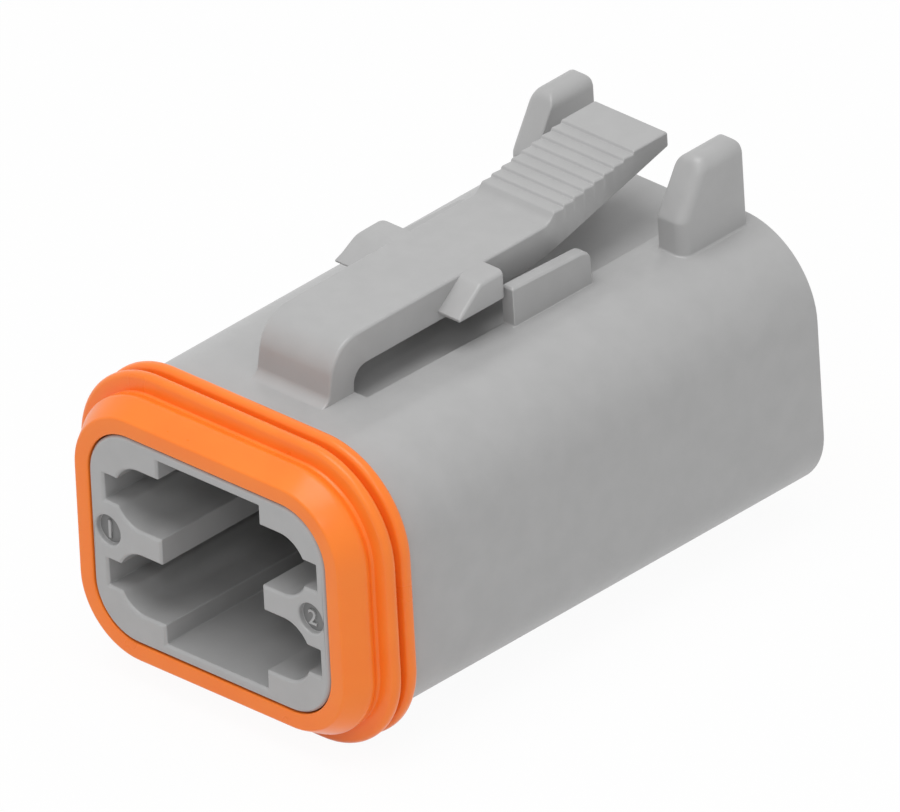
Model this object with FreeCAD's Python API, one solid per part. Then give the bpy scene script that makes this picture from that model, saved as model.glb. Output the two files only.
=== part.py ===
import FreeCAD, Part
import math
import os

# Sealed four-way wire-to-wire plug: a moulded housing with a latch, a front interface seal,
# a rear wire grommet and four contact locking fingers. All sizes are in millimetres.
#
# Frame: X is the width, +Y runs from the mating face to the wire side, +Z is up with the
# latch on top. The origin is the centre of the mating face, at the front of the nose.

Vector = FreeCAD.Vector

# Body shell, measured behind the front seal
body_length = 39.3
body_width = 23.1
body_top = 8.86
body_bottom = 8.38
body_top_radius = 5.5
body_bottom_radius = 4.3
shoulder_y = 4.45

# Nose that enters the mating socket, and the seal that sits round it
nose_width = 18.84
nose_height = 13.66
nose_radius = 3.28
mouth_chamfer = 0.15
seal_clearance = 0.08
seal_front_height = 1.06
seal_taper_length = 1.55
seal_taper_height = 1.96
seal_valley_y = 1.98
seal_valley_height = 1.86
seal_flank_height = 2.4
seal_ridge_height = 2.9
seal_ridge_width = 0.7
seal_ridge_chamfer = 0.2
seal_front_ridge_y = 2.7
seal_ridge_pitch = 1.28
seal_groove_height = 1.7
seal_heel_height = 2.2
seal_back_gap = 0.04

# Mating pocket: a central slot for the mating key with two contact chambers on each side
pocket_centre_x = 0.2
pocket_depth = 19.0
slot_width = 8.12
slot_height = 12.24
contact_offset_x = 5.67
contact_offset_z = 2.85
chamber_radius = 2.0
notch_reach = 8.49
notch_height = 1.76
mark_radius = 0.97
mark_depth = 0.3
mark_offset_x = 8.12

# Contact cavities through the partition, and the locking fingers in front of them
cavity_radius = 1.75
finger_length = 7.0
finger_thickness = 0.7
finger_width = 2.6
finger_centre_x = 3.05
finger_nub_reach = 0.9
finger_nub_length = 1.6
finger_nub_land = 0.5
finger_knuckle_radius = 0.5
finger_knuckle_depth = 0.3
finger_clearance = 0.05

# Rear pocket and the wire grommet that fills it
rear_wall = 1.4
rear_pocket_height = 14.0
rear_pocket_radius = 3.6
rear_pocket_depth = 9.5
grommet_length = 8.2
grommet_clearance = 0.05
grommet_rib_height = 0.5
grommet_rib_width = 1.8
grommet_rib_count = 3
wire_bore_radius = 0.95
wire_collar_radius = 2.1
wire_collar_height = 0.7
wire_entry_radius = 1.45
wire_entry_depth = 0.6

# Recessed channel under the latch
channel_width = 8.1
channel_front = 9.8
channel_depth = 0.74

# Latch arm, its root post and its press pad
latch_width = 5.85
latch_rise = 3.74
latch_thickness = 2.25
latch_root_front = 7.6
latch_root_lean = 0.186
latch_bend_radius = 2.4
latch_foot_round = 0.8
latch_slot_radius = 1.1
pad_front = 26.3
pad_first_rise = 0.46
pad_first_run = 0.38
pad_foot_round = 0.3
pad_edge_round = 0.15
pad_step_count = 8
pad_step_pitch = 0.83
pad_step_rise = 0.13
pad_riser_run = 0.16
tip_setback = 2.9
tip_thickness = 0.56
underside_slope = 0.235
underside_radius = 20.0
latch_knuckle_radius = 1.0
latch_knuckle_clearance = 0.06
latch_stop_gap = 0.08
latch_relief_angle = 10.0

# Catch lugs on the two sides of the latch arm
lug_front = 16.95
lug_length = 3.9
lug_drop = 1.75
lug_nose_height = 0.2
lug_ramp_length = 1.95
lug_reach_right = 1.7
lug_reach_left = 2.2
lug_round = 0.3

# Rails behind the lugs, at a gap
rail_thickness = 0.93
rail_gap = 0.22
rail_length = 6.6
rail_height = 2.29
rail_back_radius = 0.8
rail_edge_chamfer = 0.12

# Guard ears beside the press pad
ear_gap = 2.015
ear_thickness = 2.28
ear_front_thickness = 1.72
ear_length = 5.6
ear_setback = 1.0
ear_rise = 0.2
ear_crease_rise = 1.94
ear_front_slope = 0.608
ear_round = 0.8
ear_inner_round = 0.3
ear_foot_round = 0.25

# Depth by which an added form runs into the shell that carries it
root_depth = 0.6

# Lengths below this one count as nothing
touch = 1e-6

# Places that follow from the sizes above
channel_floor = body_top - channel_depth
latch_top = body_top + latch_rise
latch_underside = latch_top - latch_thickness
pad_top = latch_top + pad_first_rise + pad_step_count * pad_step_rise
tip_y = body_length - tip_setback
lug_bottom = latch_top - lug_drop
lug_back = lug_front + lug_length
rail_front = lug_back + rail_gap
rail_inner_x = channel_width / 2
rail_top = body_top + rail_height
ear_inner_x = latch_width / 2 + ear_gap
ear_outer_x = ear_inner_x + ear_thickness
ear_back = body_length - ear_setback
ear_front = ear_back - ear_length
ear_top = pad_top + ear_rise
ear_crease_height = body_top + ear_crease_rise
ear_slope_end = ear_front + (ear_top - ear_crease_height) * ear_front_slope


def at_y(y):
    """Returns a function that puts (x, z) into space in the plane at y."""
    return lambda x, z: Vector(x, y, z)


def at_x(x):
    """Returns a function that puts (y, z) into space in the plane at x."""
    return lambda y, z: Vector(x, y, z)


def at_z(z):
    """Returns a function that puts (x, y) into space in the plane at z."""
    return lambda x, y: Vector(x, y, z)


def outline(corners, place):
    """Closed wire through corners (a, b, radius), with an arc at each corner that has a radius."""
    count = len(corners)
    starts = []
    ends = []
    middles = []
    for index, (a, b, radius) in enumerate(corners):
        here = Vector(a, b, 0)
        before = Vector(*corners[index - 1][:2], 0) - here
        after = Vector(*corners[(index + 1) % count][:2], 0) - here
        before.normalize()
        after.normalize()
        half_angle = before.getAngle(after) / 2
        cut_back = radius / math.tan(half_angle) if radius else 0.0
        inward = before + after
        if radius:
            inward.normalize()
        middles.append(here + inward * (radius / math.sin(half_angle) - radius))
        starts.append(here + before * cut_back)
        ends.append(here + after * cut_back)
    edges = []
    for index in range(count):
        if corners[index][2]:
            arc_points = [place(p.x, p.y) for p in (starts[index], middles[index], ends[index])]
            edges.append(Part.Arc(*arc_points).toShape())
        following = (index + 1) % count
        line_start = ends[index]
        line_end = starts[following]
        if line_start.distanceToPoint(line_end) > touch:
            line = Part.LineSegment(place(line_start.x, line_start.y), place(line_end.x, line_end.y))
            edges.append(line.toShape())
    return Part.Wire(edges)


def along_y(corners, y, length):
    """Solid with the (x, z) outline given by corners, running from y over length."""
    return Part.Face(outline(corners, at_y(y))).extrude(Vector(0, length, 0))


def along_x(corners, x_low, x_high):
    """Solid with the (y, z) outline given by corners, running from x_low to x_high."""
    return Part.Face(outline(corners, at_x(x_low))).extrude(Vector(x_high - x_low, 0, 0))


def rounded_rectangle(width, height, radius, centre_x=0.0):
    """Corners of an upright rounded rectangle about the axis."""
    right = centre_x + width / 2
    left = centre_x - width / 2
    return [
        (right, height / 2, radius),
        (left, height / 2, radius),
        (left, -height / 2, radius),
        (right, -height / 2, radius),
    ]


def block(x_range, y_range, z_range):
    """Box between the given limits."""
    size = [high - low for low, high in (x_range, y_range, z_range)]
    return Part.makeBox(*size, Vector(x_range[0], y_range[0], z_range[0]))


def rod_along_y(x, z, radius, y, length):
    """Round bar that runs along Y."""
    return Part.makeCylinder(radius, length, Vector(x, y, z), Vector(0, 1, 0))


def join(solids):
    """One solid from solids that touch or overlap, with needless edges removed."""
    return solids[0].fuse(solids[1:]).removeSplitter()


def mirror_x(shape):
    """The shape's mirror image across the middle plane."""
    return shape.mirror(Vector(0, 0, 0), Vector(1, 0, 0))


def ring_round(width, height, radius, points):
    """Ring of constant section round a rounded rectangle.

    The section's corners are (outward distance, y). The four sides are straight runs of it,
    and the four corners are quarter turns about the corner centres.
    """
    centre_x = width / 2 - radius
    centre_z = height / 2 - radius
    corners = [Vector(radius + out, y, 0) for out, y in points]
    section = Part.Face(Part.makePolygon(corners + corners[:1]))
    sides = []
    for turn, run, centre in (
        (0, 2 * centre_z, (centre_x, centre_z)),
        (90, 2 * centre_x, (-centre_x, centre_z)),
        (180, 2 * centre_z, (-centre_x, -centre_z)),
        (270, 2 * centre_x, (centre_x, -centre_z)),
    ):
        corner = section.revolve(Vector(0, 0, 0), Vector(0, -1, 0), 90)
        straight = section.extrude(Vector(0, 0, -run))
        for piece in (corner, straight):
            piece.rotate(Vector(0, 0, 0), Vector(0, -1, 0), turn)
            piece.translate(Vector(centre[0], 0, centre[1]))
            sides.append(piece)
    return join(sides)


def ridge_points(y, base, top, width, chamfer):
    """Section corners of one ridge about y, from base to top, with its crown chamfered."""
    half = width / 2
    return [
        (base, y - half),
        (top - chamfer, y - half),
        (top, y - half + chamfer),
        (top, y + half - chamfer),
        (top - chamfer, y + half),
        (base, y + half),
    ]


def cavity_sides():
    """Which side of the axis each of the four cavities lies on, as (side in X, side in Z)."""
    return [(side_x, side_z) for side_z in (1, -1) for side_x in (-1, 1)]


def cavity_axis(side_x, side_z):
    """Axis of one contact cavity as (x, z)."""
    return pocket_centre_x + side_x * contact_offset_x, side_z * contact_offset_z


# Housing


def body_corners():
    """Outer section of the body, with wide top corners and tighter bottom ones."""
    half = body_width / 2
    return [
        (half, body_top, body_top_radius),
        (-half, body_top, body_top_radius),
        (-half, -body_bottom, body_bottom_radius),
        (half, -body_bottom, body_bottom_radius),
    ]


def outer_shell():
    """Body and nose as one solid block, before anything is hollowed out."""
    body = along_y(body_corners(), shoulder_y, body_length - shoulder_y)
    nose = along_y(rounded_rectangle(nose_width, nose_height, nose_radius), 0, shoulder_y + root_depth)
    return join([body, nose])


def mating_pocket():
    """The space inside the nose: central slot, four chambers and their outward notches."""
    cutters = [
        block(
            (pocket_centre_x - slot_width / 2, pocket_centre_x + slot_width / 2),
            (0, pocket_depth),
            (-slot_height / 2, slot_height / 2),
        )
    ]
    for side_x, side_z in cavity_sides():
        x, z = cavity_axis(side_x, side_z)
        cutters.append(rod_along_y(x, z, chamber_radius, 0, pocket_depth))
        inner = pocket_centre_x + side_x * slot_width / 4
        outer = pocket_centre_x + side_x * notch_reach
        z_range = (z - chamber_radius, z + chamber_radius)
        cutters.append(block(sorted((inner, x)), (0, pocket_depth), z_range))
        notch_range = (z - notch_height / 2, z + notch_height / 2)
        cutters.append(block(sorted((x, outer)), (0, pocket_depth), notch_range))
    return join(cutters)


def contact_cavities():
    """Four round cavities through the partition between the two pockets."""
    start = pocket_depth
    length = body_length - rear_pocket_depth - start
    cutters = []
    for side_x, side_z in cavity_sides():
        x, z = cavity_axis(side_x, side_z)
        cutters.append(rod_along_y(x, z, cavity_radius, start, length))
    return cutters


def finger_socket(side_x, side_z):
    """Rounded seat in the partition that a finger's knuckle turns in."""
    x = pocket_centre_x + side_x * finger_centre_x
    z = side_z * contact_offset_z - finger_width / 2 - finger_clearance
    return Part.makeCylinder(
        finger_knuckle_radius + finger_clearance,
        finger_width + 2 * finger_clearance,
        Vector(x, pocket_depth + finger_knuckle_depth, z),
        Vector(0, 0, 1),
    )


def rear_pocket():
    """Pocket at the wire side that holds the grommet."""
    width = body_width - 2 * rear_wall
    corners = rounded_rectangle(width, rear_pocket_height, rear_pocket_radius)
    return along_y(corners, body_length - rear_pocket_depth, rear_pocket_depth)


def face_marks():
    """Two shallow round recesses on the mating face, one on each side."""
    return [rod_along_y(side * mark_offset_x, 0, mark_radius, 0, mark_depth) for side in (-1, 1)]


def latch_channel():
    """Flat channel in the top of the body, from the latch root to the wire side."""
    half = channel_width / 2
    return block((-half, half), (channel_front, body_length), (channel_floor, body_top + root_depth))


def latch_corners():
    """Side outline of the whole latch, root post, arm and stepped pad, as (y, z, radius)."""
    post_base = channel_floor - root_depth
    foot_front = latch_root_front - latch_foot_round
    front_top = latch_root_front + (latch_top - body_top) * latch_root_lean
    corners = [
        (foot_front, post_base, 0),
        (foot_front, body_top, 0),
        (latch_root_front, body_top, latch_foot_round),
        (front_top, latch_top, latch_bend_radius),
        (pad_front, latch_top, pad_foot_round),
    ]
    y = pad_front + pad_first_run
    z = latch_top + pad_first_rise
    corners.append((y, z, pad_edge_round))
    for _ in range(pad_step_count):
        y += pad_step_pitch
        corners.append((y - pad_riser_run, z, 0))
        z += pad_step_rise
        corners.append((y, z, 0))
    bottom_of_tip = z - tip_thickness
    bend_y = tip_y - (bottom_of_tip - latch_underside) / underside_slope
    corners += [
        (tip_y, z, 0),
        (tip_y, bottom_of_tip, 0),
        (bend_y, latch_underside, underside_radius),
        (channel_front, latch_underside, latch_slot_radius),
        (channel_front, post_base, 0),
    ]
    return corners


def whole_latch():
    """The latch as moulded, from its root in the body to its tip."""
    return along_x(latch_corners(), -latch_width / 2, latch_width / 2)


def latch_hinge():
    """Middle of the root bend, (y, z), and the direction across the bend, towards the outside."""
    lean_angle = math.atan(latch_root_lean)
    half_angle = (math.pi / 2 + lean_angle) / 2
    corner = Vector(0, latch_root_front + (latch_top - body_top) * latch_root_lean, latch_top)
    to_centre = Vector(0, math.cos(half_angle), -math.sin(half_angle))
    centre_distance = latch_bend_radius / math.sin(half_angle)
    outer_point = corner + to_centre * (centre_distance - latch_bend_radius)
    slot_corner = Vector(0, channel_front, latch_underside)
    to_slot_centre = Vector(0, 1, -1)
    to_slot_centre.normalize()
    slot_round = latch_slot_radius * (math.sqrt(2) - 1)
    inner_point = slot_corner + to_slot_centre * slot_round
    across = outer_point - inner_point
    across.normalize()
    return (outer_point + inner_point) * 0.5, across


def half_space(centre, direction, offset):
    """Large block that fills the side of a plane, through centre, that direction points to."""
    reach = 2 * body_length
    slab = Part.makeBox(reach, reach, reach, Vector(-reach / 2, offset, -reach / 2))
    angle = math.degrees(math.atan2(direction.z, direction.y))
    slab.rotate(Vector(0, 0, 0), Vector(1, 0, 0), angle)
    slab.translate(centre)
    return slab


def knuckle(radius):
    """Round bar across the latch, on its hinge axis."""
    centre, _ = latch_hinge()
    start = Vector(-latch_width / 2, centre.y, centre.z)
    return Part.makeCylinder(radius, latch_width, start, Vector(1, 0, 0))


def latch_post():
    """Root of the latch, fixed to the body, with the seat that the arm turns in."""
    centre, across = latch_hinge()
    towards_post = Vector(0, -across.z, across.y)
    post = whole_latch().common(half_space(centre, towards_post, 0))
    return post.cut(knuckle(latch_knuckle_radius + latch_knuckle_clearance))


def catch_lug(side, reach):
    """Lug on one side of the arm, with a ramp in front and a square back."""
    ramp_foot = lug_bottom + lug_nose_height
    corners = [
        (lug_front, lug_bottom, 0),
        (lug_front, ramp_foot, 0),
        (lug_front + lug_ramp_length, latch_top, lug_round),
        (lug_back, latch_top, 0),
        (lug_back, lug_bottom, 0),
    ]
    root = latch_width / 2 - root_depth
    tip = latch_width / 2 + reach
    lug = along_x(corners, root, tip)
    outer_edges = [edge for edge in lug.Edges if edge.BoundBox.XMin > tip - touch]
    top_edges = [edge for edge in outer_edges if edge.BoundBox.ZMin > latch_top - touch]
    back_edges = [edge for edge in outer_edges if edge.BoundBox.YMin > lug_back - touch]
    lug = lug.makeFillet(lug_round, top_edges + back_edges)
    return lug if side > 0 else mirror_x(lug)


def latch_arm():
    """The part of the latch that moves: knuckle, arm, lugs and stepped press pad."""
    centre, across = latch_hinge()
    towards_arm = Vector(0, across.z, -across.y)
    relief = math.radians(latch_relief_angle)
    relieved = Vector(
        0,
        towards_arm.y * math.cos(relief) - towards_arm.z * math.sin(relief),
        towards_arm.y * math.sin(relief) + towards_arm.z * math.cos(relief),
    )
    arm = whole_latch().common(half_space(centre, towards_arm, latch_stop_gap))
    arm = arm.common(half_space(centre, relieved, 0))
    pieces = [arm, knuckle(latch_knuckle_radius)]
    pieces.append(catch_lug(1, lug_reach_right))
    pieces.append(catch_lug(-1, lug_reach_left))
    return join(pieces)


def rail():
    """Low rail on the body behind a lug, with a rounded back corner and broken upper edges."""
    corners = [
        (rail_front, body_top - root_depth, 0),
        (rail_front, rail_top, 0),
        (rail_front + rail_length, rail_top, rail_back_radius),
        (rail_front + rail_length, body_top - root_depth, 0),
    ]
    bar = along_x(corners, rail_inner_x, rail_inner_x + rail_thickness)
    edge_height = rail_top - rail_back_radius
    upper_edges = [edge for edge in bar.Edges if edge.BoundBox.ZMin > edge_height - touch]
    return bar.makeChamfer(rail_edge_chamfer, upper_edges)


def guard_ear():
    """Upright ear beside the press pad.

    It is narrower in front than behind, its upper front slopes back, and its crown, its outer
    front edge and the front of its crown are well rounded.
    """
    base = body_top - root_depth
    plan = [
        (ear_inner_x, ear_front, 0),
        (ear_inner_x + ear_front_thickness, ear_front, 0),
        (ear_outer_x, ear_back, 0),
        (ear_inner_x, ear_back, 0),
    ]
    side = [
        (ear_front, base, 0),
        (ear_front, ear_crease_height, 0),
        (ear_slope_end, ear_top, 0),
        (ear_back, ear_top, 0),
        (ear_back, base, 0),
    ]
    upright = Part.Face(outline(plan, at_z(base))).extrude(Vector(0, 0, ear_top - base))
    ear = upright.common([along_x(side, ear_inner_x, ear_outer_x)])
    round_edges = [edge for edge in ear_upper_edges(ear) if not on_inner_front(edge)]
    ear = ear.makeFillet(ear_round, round_edges)
    inner_edges = [edge for edge in ear_upper_edges(ear) if on_inner_front(edge)]
    return ear.makeFillet(ear_inner_round, inner_edges)


def on_inner_front(edge):
    """Whether an edge of an ear runs up its inner front corner."""
    box = edge.BoundBox
    return box.XMax < ear_inner_x + touch and box.YMax < ear_slope_end + touch


def ear_upper_edges(ear):
    """Edges of an ear apart from its foot, its crease and its square back."""
    found = []
    for edge in ear.Edges:
        box = edge.BoundBox
        at_back = box.YMin > ear_back - touch
        level = box.ZLength < touch
        if not at_back and not (level and box.ZMax < ear_top - touch):
            found.append(edge)
    return found


def foot_edges(whole, x_range, y_range):
    """Edges on the body's top surface round the foot of the form that stands in the two ranges."""
    margin = 0.05
    found = []
    for edge in whole.Edges:
        box = edge.BoundBox
        inside_x = box.XMin > x_range[0] - margin and box.XMax < x_range[1] + margin
        inside_y = box.YMin > y_range[0] - margin and box.YMax < y_range[1] + margin
        inside_z = box.ZMin > channel_floor + margin and box.ZMax < body_top + margin
        if inside_x and inside_y and inside_z:
            found.append(edge)
    return found


def soften_feet(whole):
    """The housing with a round foot where the ears meet the top of the body.

    Where the flat top ends close beside an ear, the foot is kept on that flat.
    """
    flat_left = body_width / 2 - body_top_radius - ear_outer_x
    size = min(ear_foot_round, flat_left / 2) if flat_left > 0 else ear_foot_round
    edges = foot_edges(whole, (ear_inner_x, ear_outer_x), (ear_front, ear_back))
    edges += foot_edges(whole, (-ear_outer_x, -ear_inner_x), (ear_front, ear_back))
    return whole.makeFillet(size, edges)


def housing():
    """The one-piece moulding: nose, body, partition, latch root, rails and ears."""
    cutters = contact_cavities() + face_marks()
    cutters += [finger_socket(side_x, side_z) for side_x, side_z in cavity_sides()]
    cutters += [latch_channel(), rear_pocket()]
    shell = outer_shell().cut([mating_pocket()])
    mouth_edges = [edge for edge in shell.Edges if edge.BoundBox.YMax < touch]
    shell = shell.makeChamfer(mouth_chamfer, mouth_edges).cut(cutters)
    additions = [latch_post(), rail(), mirror_x(rail()), guard_ear(), mirror_x(guard_ear())]
    return soften_feet(join([shell] + additions))


# Soft parts


def interface_seal():
    """Front seal: tapered lead-in, shallow valley and two tall sealing ridges."""
    inner_width = nose_width + 2 * seal_clearance
    inner_height = nose_height + 2 * seal_clearance
    inner_radius = nose_radius + seal_clearance
    back = shoulder_y - seal_back_gap
    back_ridge_y = seal_front_ridge_y + seal_ridge_pitch
    ridge = (seal_flank_height, seal_ridge_height, seal_ridge_width, seal_ridge_chamfer)
    points = [
        (0, 0),
        (seal_front_height, 0),
        (seal_taper_height, seal_taper_length),
        (seal_valley_height, seal_valley_y),
    ]
    points += ridge_points(seal_front_ridge_y, *ridge)
    points.append((seal_groove_height, (seal_front_ridge_y + back_ridge_y) / 2))
    points += ridge_points(back_ridge_y, *ridge)
    points += [(seal_heel_height, back), (0, back)]
    return ring_round(inner_width, inner_height, inner_radius, points)


def wire_grommet():
    """Rear seal: a block with peaked ribs and four wire bores that have collars and tapered mouths."""
    front = body_length - rear_pocket_depth + grommet_clearance
    back = front + grommet_length
    rib_width = body_width - 2 * rear_wall - 2 * grommet_clearance
    rib_height = rear_pocket_height - 2 * grommet_clearance
    rib_corner = rear_pocket_radius - grommet_clearance
    width = rib_width - 2 * grommet_rib_height
    height = rib_height - 2 * grommet_rib_height
    radius = rib_corner - grommet_rib_height
    core = along_y(rounded_rectangle(width, height, radius), front, grommet_length)
    pieces = [core]
    spacing = grommet_length / grommet_rib_count
    for index in range(grommet_rib_count):
        middle = front + spacing * (index + 0.5)
        rib = [
            (-grommet_rib_height, middle - grommet_rib_width / 2),
            (grommet_rib_height, middle),
            (-grommet_rib_height, middle + grommet_rib_width / 2),
        ]
        pieces.append(ring_round(width, height, radius, rib))
    for side_x, side_z in cavity_sides():
        x, z = cavity_axis(side_x, side_z)
        pieces.append(rod_along_y(x, z, wire_collar_radius, back - root_depth, root_depth + wire_collar_height))
    block_with_collars = join(pieces)
    mouth = back + wire_collar_height
    cutters = []
    for side_x, side_z in cavity_sides():
        x, z = cavity_axis(side_x, side_z)
        cutters.append(rod_along_y(x, z, wire_bore_radius, front, mouth - front))
        funnel = Part.makeCone(
            wire_bore_radius,
            wire_entry_radius,
            wire_entry_depth,
            Vector(x, mouth - wire_entry_depth, z),
            Vector(0, 1, 0),
        )
        cutters.append(funnel)
    return block_with_collars.cut(cutters)


# Locking fingers


def locking_finger(side_x, side_z):
    """Springy finger in front of one cavity, with a nub that catches the contact's shoulder."""
    x = pocket_centre_x + side_x * finger_centre_x
    z = side_z * contact_offset_z
    half = finger_thickness / 2
    root_y = pocket_depth + finger_knuckle_depth
    tip = pocket_depth - finger_length
    nub = half + finger_nub_reach
    corners = [
        (-half, root_y),
        (-half, tip),
        (nub, tip),
        (nub, tip + finger_nub_land),
        (half, tip + finger_nub_length),
        (half, root_y),
    ]
    points = [Vector(x + side_x * out, y, z - finger_width / 2) for out, y in corners]
    beam = Part.Face(Part.makePolygon(points + points[:1])).extrude(Vector(0, 0, finger_width))
    barrel = Part.makeCylinder(
        finger_knuckle_radius,
        finger_width,
        Vector(x, root_y, z - finger_width / 2),
        Vector(0, 0, 1),
    )
    return join([beam, barrel])


def finger_name(side_x, side_z):
    """Node name of one finger, from where it stands seen from the mating face."""
    row = "upper" if side_z > 0 else "lower"
    column = "left" if side_x < 0 else "right"
    return f"locking_finger_{row}_{column}"


def build():
    """All sub-parts by node name."""
    nodes = {
        "housing": housing(),
        "latch_arm": latch_arm(),
        "interface_seal": interface_seal(),
        "wire_grommet": wire_grommet(),
    }
    for side_x, side_z in cavity_sides():
        nodes[finger_name(side_x, side_z)] = locking_finger(side_x, side_z)
    return nodes


os.makedirs("parts", exist_ok=True)
for name, shape in build().items():
    shape.exportStep(f"parts/{name}.step")
    print(name, len(shape.Solids), round(shape.Volume, 2), shape.isValid())
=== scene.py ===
"""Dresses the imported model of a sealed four-way connector plug.

The housing and its latch are grey nylon, injection moulded. The front seal and the wire grommet
are orange silicone rubber. Lengths in the classes are millimetres in the model's own frame: X is
the width, +Y runs from the mating face to the wire side, and +Z is up.
"""

import logging
import math
from dataclasses import dataclass, replace
from enum import Enum

import bmesh
import bpy
import numpy as np
from bpy.types import ID, Material, Mesh, Node, NodeSocket, NodeTree, Object
from mathutils import Matrix, Vector

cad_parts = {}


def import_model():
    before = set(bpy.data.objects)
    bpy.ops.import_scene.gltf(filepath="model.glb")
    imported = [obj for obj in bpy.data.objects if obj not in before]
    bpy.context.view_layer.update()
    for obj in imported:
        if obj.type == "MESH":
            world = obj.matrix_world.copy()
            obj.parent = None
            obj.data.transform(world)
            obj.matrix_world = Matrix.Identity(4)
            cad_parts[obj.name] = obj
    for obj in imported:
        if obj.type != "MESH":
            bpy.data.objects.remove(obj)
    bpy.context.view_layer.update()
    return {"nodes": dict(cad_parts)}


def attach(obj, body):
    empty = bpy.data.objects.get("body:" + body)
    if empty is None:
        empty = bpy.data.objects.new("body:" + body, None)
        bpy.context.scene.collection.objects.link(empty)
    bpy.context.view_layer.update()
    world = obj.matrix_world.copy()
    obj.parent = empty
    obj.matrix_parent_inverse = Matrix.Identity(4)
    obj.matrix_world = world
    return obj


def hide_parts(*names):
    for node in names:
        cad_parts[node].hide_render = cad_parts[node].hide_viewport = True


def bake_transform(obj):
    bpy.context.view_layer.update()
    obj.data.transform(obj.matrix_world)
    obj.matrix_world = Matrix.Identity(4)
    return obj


MM = 0.001
BODY_TOP = 8.86
SHOULDER_START = 6.05
SHOULDER_RADIUS = 5.5
WELD_MM = 0.0005
FLAT_DEGREES = 0.3
SHARP_DEGREES = 30
WHITE = (1.0, 1.0, 1.0, 1.0)
LOG = logging.getLogger("plug")

Pair = tuple[float, float]
Triple = tuple[float, float, float]
Four = tuple[float, float, float, float]
Zone = tuple[Triple, Triple, float]


class Body(Enum):
    """The moving bodies that the pieces ride on."""

    PLUG = "plug"
    LATCH = "latch"


class Slot(Enum):
    """Names of the material slots."""

    PLASTIC = "moulded_plastic"
    RUBBER = "seal_rubber"


# Colours and shader nodes


def linear_colour(hex_colour: str) -> Four:
    """Turns an sRGB colour such as "#b0b0b0" into linear RGBA.

    Args:
        hex_colour: the colour as # and six hex digits.

    Returns:
        Linear red, green and blue, with alpha 1.
    """
    srgb = np.array([int(hex_colour[i : i + 2], 16) for i in (1, 3, 5)]) / 255
    linear = np.where(srgb <= 0.04045, srgb / 12.92, ((srgb + 0.055) / 1.055) ** 2.4)
    return (*linear.tolist(), 1.0)


def add_node(tree: NodeTree, kind: str, inputs: dict[str | int, object], **settings: object) -> Node:
    """Adds a node, sets its properties, and sets or links its inputs.

    Args:
        tree: the node tree that the node joins.
        kind: the node's type name.
        inputs: by input name or number, an output socket to link from or a plain value.
        settings: properties of the node by name.

    Returns:
        The new node.
    """
    node = tree.nodes.new(kind)
    for name, value in settings.items():
        setattr(node, name, value)
    for key, value in inputs.items():
        socket = node.inputs[key]
        if isinstance(value, NodeSocket):
            tree.links.new(value, socket)
        else:
            socket.default_value = value
    return node


# Finishes


@dataclass(frozen=True)
class MouldedFinish:
    """A moulded surface: a faintly mottled colour, a fine grain, and light that enters a little."""

    name: str
    colours: tuple[str, str]
    mottle_mm: float
    mottle_detail: float
    grain_mm: float
    grain_depth_mm: float
    grain_strength: float
    roughness: Pair
    roughness_follows: str
    index: float
    glow: float = 0.0
    glow_depth_mm: float = 0.5
    glow_reach: Triple = (1.0, 0.45, 0.15)
    grain_detail: float = 2.0
    spread: Pair = (0.3, 0.7)

    def material(self) -> Material:
        """Builds the finish as a procedural material on Object coordinates."""
        material = bpy.data.materials.new(self.name)
        material.use_nodes = True
        tree = material.node_tree
        tree.nodes.clear()
        place = add_node(tree, "ShaderNodeTexCoord", {}).outputs["Object"]
        pattern = {}
        for key, size_mm, detail in (
            ("mottle", self.mottle_mm, self.mottle_detail),
            ("grain", self.grain_mm, self.grain_detail),
        ):
            noise = {"Vector": place, "Scale": 1 / (size_mm * MM), "Detail": detail}
            pattern[key] = add_node(tree, "ShaderNodeTexNoise", noise).outputs["Fac"]
        tint = add_node(tree, "ShaderNodeValToRGB", {"Fac": pattern["mottle"]})
        for element, share, colour in zip(tint.color_ramp.elements, self.spread, self.colours):
            element.position = share
            element.color = linear_colour(colour)
        rough = add_node(
            tree,
            "ShaderNodeMapRange",
            {
                "Value": pattern[self.roughness_follows],
                "From Min": self.spread[0],
                "From Max": self.spread[1],
                "To Min": self.roughness[0],
                "To Max": self.roughness[1],
            },
        )
        relief = {"Strength": self.grain_strength, "Distance": self.grain_depth_mm * MM}
        bump = add_node(tree, "ShaderNodeBump", {"Height": pattern["grain"], **relief})
        shader = add_node(
            tree,
            "ShaderNodeBsdfPrincipled",
            {
                "Base Color": tint.outputs["Color"],
                "Roughness": rough.outputs["Result"],
                "Normal": bump.outputs["Normal"],
                "IOR": self.index,
                "Subsurface Weight": self.glow,
                "Subsurface Radius": self.glow_reach,
                "Subsurface Scale": self.glow_depth_mm * MM,
            },
        )
        add_node(tree, "ShaderNodeOutputMaterial", {"Surface": shader.outputs["BSDF"]})
        return material


# Grey nylon, injection moulded in a spark-eroded steel tool. The tool leaves a fine matt grain,
# which spreads the highlights softly, and the glass fibre in the nylon gives a barely mottled
# grey. The real grain of 0.03 mm is too fine for the render, so it is drawn five times as coarse.
NYLON = MouldedFinish(
    name="nylon_injection_moulded_grey",
    colours=("#a9a9a9", "#adadad"),
    mottle_mm=1.6,
    mottle_detail=3.0,
    grain_mm=0.16,
    grain_depth_mm=0.006,
    grain_strength=0.5,
    roughness=(0.33, 0.41),
    roughness_follows="grain",
    index=1.53,
)

# The same nylon with a darker grey, which is painted shade for the recessed mark floors, and a higher
# roughness, which makes them duller.
MARK_SHADE_NYLON = replace(
    NYLON,
    name="nylon_mark_floor_painted_shade",
    colours=("#7e7e7e", "#828282"),
    roughness=(0.6, 0.7),
)

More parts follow.
